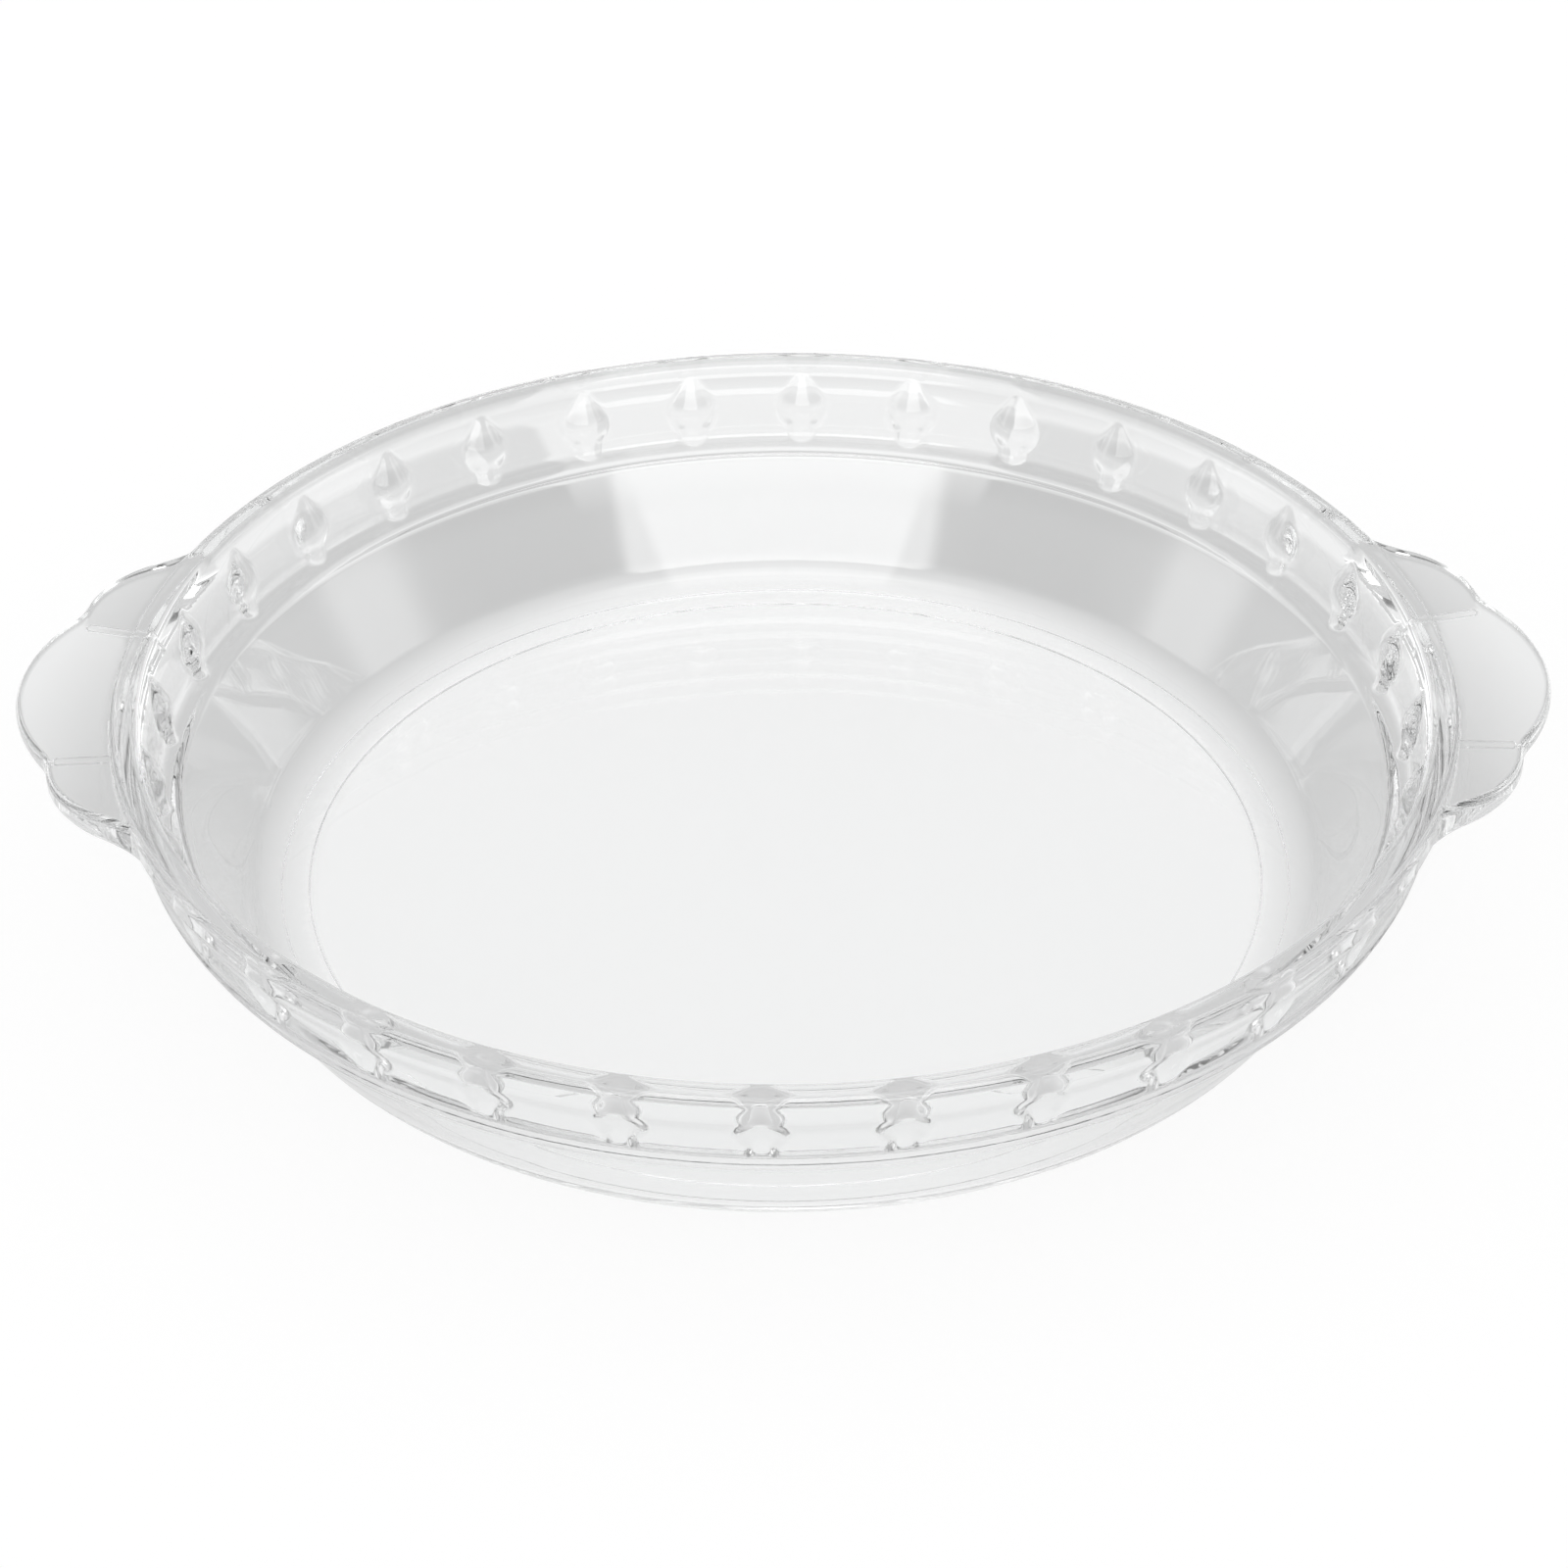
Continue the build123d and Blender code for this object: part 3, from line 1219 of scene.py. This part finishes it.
@dataclass(frozen=True)
class PressedGlass:
    """Finish of the glass: clear and polished, with the faint waves of pressed ware."""

    ior: float = 1.5
    roughness: float = 0.0
    tint: tuple[float, float, float, float] = (0.985, 0.99, 0.99, 1.0)
    wave_scale: float = 70.0
    wave_detail: float = 1.0
    wave_height: float = 0.012 * MM

    def make(self) -> bpy.types.Material:
        """Makes the material.

        Returns:
            Clear glass whose surface waves are too faint to bend an outline.
        """
        material = bpy.data.materials.new("clear_pressed_glass")
        material.use_nodes = True
        tree = material.node_tree
        shader = tree.nodes["Principled BSDF"]
        shader.inputs["Base Color"].default_value = self.tint
        shader.inputs["Roughness"].default_value = self.roughness
        shader.inputs["IOR"].default_value = self.ior
        shader.inputs["Transmission Weight"].default_value = 1.0
        place = add_node(tree, "ShaderNodeTexCoord")
        waves = add_node(
            tree, "ShaderNodeTexNoise", Vector=place.outputs["Object"],
            Scale=self.wave_scale, Detail=self.wave_detail,
        )
        bump = add_node(
            tree, "ShaderNodeBump", Height=waves.outputs["Fac"], Distance=self.wave_height
        )
        connect(tree, bump.outputs["Normal"], shader.inputs["Normal"])
        return material


@dataclass(frozen=True)
class SoftPanel:
    """A soft studio panel far away, given by where it lies in the sky.

    All but its strength is in degrees. Azimuth 0 lies behind the dish and 90 to its right. A
    panel with a negative strength is dark.
    """

    name: str
    azimuth: float
    elevation: float
    half_width: float
    half_height: float
    softness: float
    strength: float

    def weight(self, azimuth: Field, elevation: Field) -> Field:
        """How much of the panel is seen in a direction.

        Args:
            azimuth: Azimuth of the direction, in degrees.
            elevation: Elevation of the direction, in degrees.

        Returns:
            Radiance of the panel there.
        """
        across = (azimuth - self.azimuth + 3 * HALF_TURN_DEGREES).math(
            "FLOORED_MODULO", 2 * HALF_TURN_DEGREES
        ) - HALF_TURN_DEGREES
        upward = elevation - self.elevation
        share = self.within(across, self.half_width) * self.within(upward, self.half_height)
        smooth = share.squared() * (share * -2 + 3)
        return smooth * self.strength

    def within(self, offset: Field, half: float) -> Field:
        """Share of 1 inside half a size from the middle, falling to 0 over the softness."""
        inner = half + self.softness / 2
        return ((offset.math("ABSOLUTE") * -1 + inner) / self.softness).math("ADD", 0, clamp=True)


@dataclass
class Studio:
    """White room for the camera, and a pale one with soft panels for the glass.

    The panels show in the sky alone. The windows and shades lie near the horizon, and where they
    dip under it the glass sees them painted on the floor, as painted light and painted shade.
    Round the foot the glass sees a greyer ring on the floor, a painted shadow of the dish.
    """

    floor_half: float = 4.0
    floor_white: float = 0.93
    floor_glow_share: float = 0.85
    camera_floor: float = 1.02
    inner_floor: float = 1.01
    outer_floor: float = 0.91
    # The ring is a painted shadow of the dish on the floor, which only the glass sees.
    shadow_ring_floor: float = 0.62
    shadow_ring_inner: float = 118 * MM
    shadow_ring_outer: float = 142 * MM
    shadow_ring_narrowing: float = 1.1
    inner_softness: float = 20 * MM
    outer_softness: float = 30 * MM
    window_sight: float = 22 * MM
    shadow_light: float = 1.08
    room: float = 0.80
    bounces: int = 32
    panels: tuple[SoftPanel, ...] = (
        SoftPanel("overhead", 0, 90, 180, 18, 10, 1.4),
        SoftPanel("front", 180, 28, 33, 13, 4, 3.1),
        SoftPanel("right gap", 126, 24, 20, 14, 20, -0.60),
        SoftPanel("left gap", 234, 24, 20, 14, 20, -0.60),
        SoftPanel("right side", 92, 8, 9, 12, 8, 1.6),
        SoftPanel("left side", 268, 8, 9, 12, 8, 1.6),
    )
    # In the sky these light the glass; on the floor, where they dip under the horizon, they are
    # painted light and painted shade.
    windows: tuple[SoftPanel, ...] = (
        SoftPanel("right window", 56, 0, 12, 4.5, 2, 1.2),
        SoftPanel("left window", 304, 0, 12, 4.5, 2, 1.2),
        SoftPanel("right shade", 39, -7.3, 21, 1.1, 1, -0.17),
        SoftPanel("left shade", 321, -7.3, 21, 1.1, 1, -0.17),
        SoftPanel("back floor", 0, -10.2, 13, 1.8, 1.5, 0.12),
        SoftPanel("far back", 0, -1.5, 42, 3.7, 1, -0.28),
    )

    def make(self) -> None:
        """Makes the floor and the world, and lets light bounce on inside the glass."""
        self.lay_floor()
        self.light_world()
        cycles = bpy.context.scene.cycles
        cycles.max_bounces = self.bounces
        cycles.glossy_bounces = self.bounces
        cycles.transmission_bounces = self.bounces

    @staticmethod
    def ray_share(tree: bpy.types.NodeTree, *labels: str) -> Field:
        """Share of 1 where a ray is of one of the named kinds, else 0.

        Args:
            tree: Tree of the material or the world.
            labels: Outputs of the Light Path node.

        Returns:
            The share.
        """
        paths = add_node(tree, "ShaderNodeLightPath")
        shares = [Field(tree, paths.outputs[label]) for label in labels]
        total = shares[0]
        for share in shares[1:]:
            total = total.math("MAXIMUM", share)
        return total

    def lay_floor(self) -> bpy.types.Object:
        """Makes the pale floor, which keeps the shadow of the dish. To the glass alone it also
        shows a painted shadow ring round the foot and painted window light and shade.

        Returns:
            The floor.
        """
        half = self.floor_half
        corners = [(-half, -half, 0), (half, -half, 0), (half, half, 0), (-half, half, 0)]
        material = bpy.data.materials.new("pale_floor")
        material.use_nodes = True
        tree = material.node_tree
        tree.nodes.clear()
        camera = self.ray_share(tree, "Is Camera Ray")
        seen = self.ray_share(tree, "Is Camera Ray", "Is Glossy Ray", "Is Transmission Ray")
        white = (self.floor_white,) * 3 + (1.0,)
        matte = add_node(tree, "ShaderNodeBsdfDiffuse", Color=white)
        x, y, _ = separate(tree, add_node(tree, "ShaderNodeTexCoord").outputs["Object"])
        # Painted shadow: the floor that the glass sees greys in a ring round the foot of the
        # dish.
        radius = ((x * self.shadow_ring_narrowing).squared() + y.squared()).root()
        entering = ((radius - self.shadow_ring_inner) / self.inner_softness).math("ADD", 1, clamp=True)
        leaving = ((radius - self.shadow_ring_outer) / self.outer_softness).math("ADD", 0, clamp=True)
        ring = entering.blend(self.inner_floor, self.shadow_ring_floor)
        below = leaving.blend(ring, self.outer_floor)
        azimuth = x.math("ARCTAN2", y).math("DEGREES")
        steepness = (radius / self.window_sight).math("ARCTANGENT").math("DEGREES")
        elevation = steepness - QUARTER_TURN_DEGREES
        # Painted light and shade: the windows and shades drawn on the floor for the glass.
        for window in self.windows:
            below = below + window.weight(azimuth, elevation)
        glow = add_node(
            tree, "ShaderNodeEmission", Strength=camera.blend(below, self.camera_floor)
        )
        mixed = add_node(tree, "ShaderNodeMixShader", Fac=seen * self.floor_glow_share)
        connect(tree, matte.outputs[0], mixed.inputs[1])
        connect(tree, glow.outputs[0], mixed.inputs[2])
        output = tree.nodes.new("ShaderNodeOutputMaterial")
        connect(tree, mixed.outputs[0], output.inputs["Surface"])
        floor = new_piece("floor", corners, [(0, 1, 2, 3)], material)
        return floor

    def light_world(self) -> None:
        """Makes the world: white to the camera, and panels in a grey room to the glass."""
        world = bpy.data.worlds.new("studio")
        bpy.context.scene.world = world
        world.use_nodes = True
        tree = world.node_tree
        tree.nodes.clear()
        coordinates = add_node(tree, "ShaderNodeTexCoord")
        x, y, z = separate(tree, coordinates.outputs["Generated"])
        azimuth = x.math("ARCTAN2", y).math("DEGREES")
        elevation = z.math("MINIMUM", 1).math("MAXIMUM", -1).math("ARCSINE").math("DEGREES")
        radiance: Field | float = self.room
        for panel in self.panels + self.windows:
            radiance = panel.weight(azimuth, elevation) + radiance
        camera = self.ray_share(tree, "Is Camera Ray")
        diffuse = self.ray_share(tree, "Is Diffuse Ray")
        light = camera.blend(diffuse.blend(radiance, self.shadow_light), 1.0)
        glow = add_node(tree, "ShaderNodeBackground", Strength=light)
        output = tree.nodes.new("ShaderNodeOutputWorld")
        connect(tree, glow.outputs[0], output.inputs["Surface"])


@dataclass
class ShootCamera:
    """Camera of the photograph, fitted to the rim, the base and the flutes."""

    distance: float = 727.4 * MM
    elevation: float = math.radians(33.38)
    azimuth: float = math.radians(-0.34)
    aim_level: float = 45.2 * MM
    tilt: float = math.radians(-1.61)
    pan: float = math.radians(-0.01)
    roll: float = math.radians(-0.47)
    focal_pixels: float = 3982.55
    frame_pixels: float = 1600.0
    sensor: float = 36.0
    nearest: float = 0.01
    farthest: float = 50.0

    def make(self) -> bpy.types.Object:
        """Makes the camera and sets it as the scene's camera.

        Returns:
            The camera.
        """
        data = bpy.data.cameras.new("shoot_camera")
        data.sensor_width = self.sensor
        data.lens = self.focal_pixels / self.frame_pixels * self.sensor
        data.clip_start = self.nearest
        data.clip_end = self.farthest
        camera = bpy.data.objects.new("shoot_camera", data)
        aim = Vector((0, 0, self.aim_level))
        back = Vector((0, -math.cos(self.elevation), math.sin(self.elevation)))
        back.rotate(Matrix.Rotation(self.azimuth, 3, "Z"))
        forward = -back
        right = forward.cross(Vector((0, 0, 1))).normalized()
        up = right.cross(forward)
        turn = Matrix.Rotation(self.tilt, 3, right) @ Matrix.Rotation(-self.pan, 3, up)
        forward = turn @ forward
        up = turn @ up
        turn = Matrix.Rotation(-self.roll, 3, forward)
        up = turn @ up
        right = forward.cross(up)
        axes = Matrix((right, up, -forward)).transposed()
        camera.matrix_world = Matrix.Translation(aim + back * self.distance) @ axes.to_4x4()
        bpy.context.scene.collection.objects.link(camera)
        bpy.context.scene.camera = camera
        return camera


def write_sizes() -> None:
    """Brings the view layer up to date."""
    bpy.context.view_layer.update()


def main() -> None:
    """Builds the dish, the room and the camera."""
    logging.basicConfig(level=logging.INFO, format="%(message)s")
    bpy.context.scene.view_settings.view_transform = "Standard"
    ShootCamera().make()
    glass = PressedGlass().make()
    rim_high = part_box("rim_lip")[1]
    handle_low, handle_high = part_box("right_handle")
    section = GlassSection(rim_radius=rim_high.y, height=rim_high.z)
    handles = LobedHandles(
        section, glass, top=handle_high.z, bottom=handle_low.z, reach=handle_high.x
    )
    dish = GlassDish(FlutedBowl(section, glass), handles).make()
    log.info(
        "%s: %d faces, %d open edges", dish.name, len(dish.data.polygons),
        open_edges(dish.data),
    )
    Studio().make()
    write_sizes()


if __name__ == "__main__":
    main()
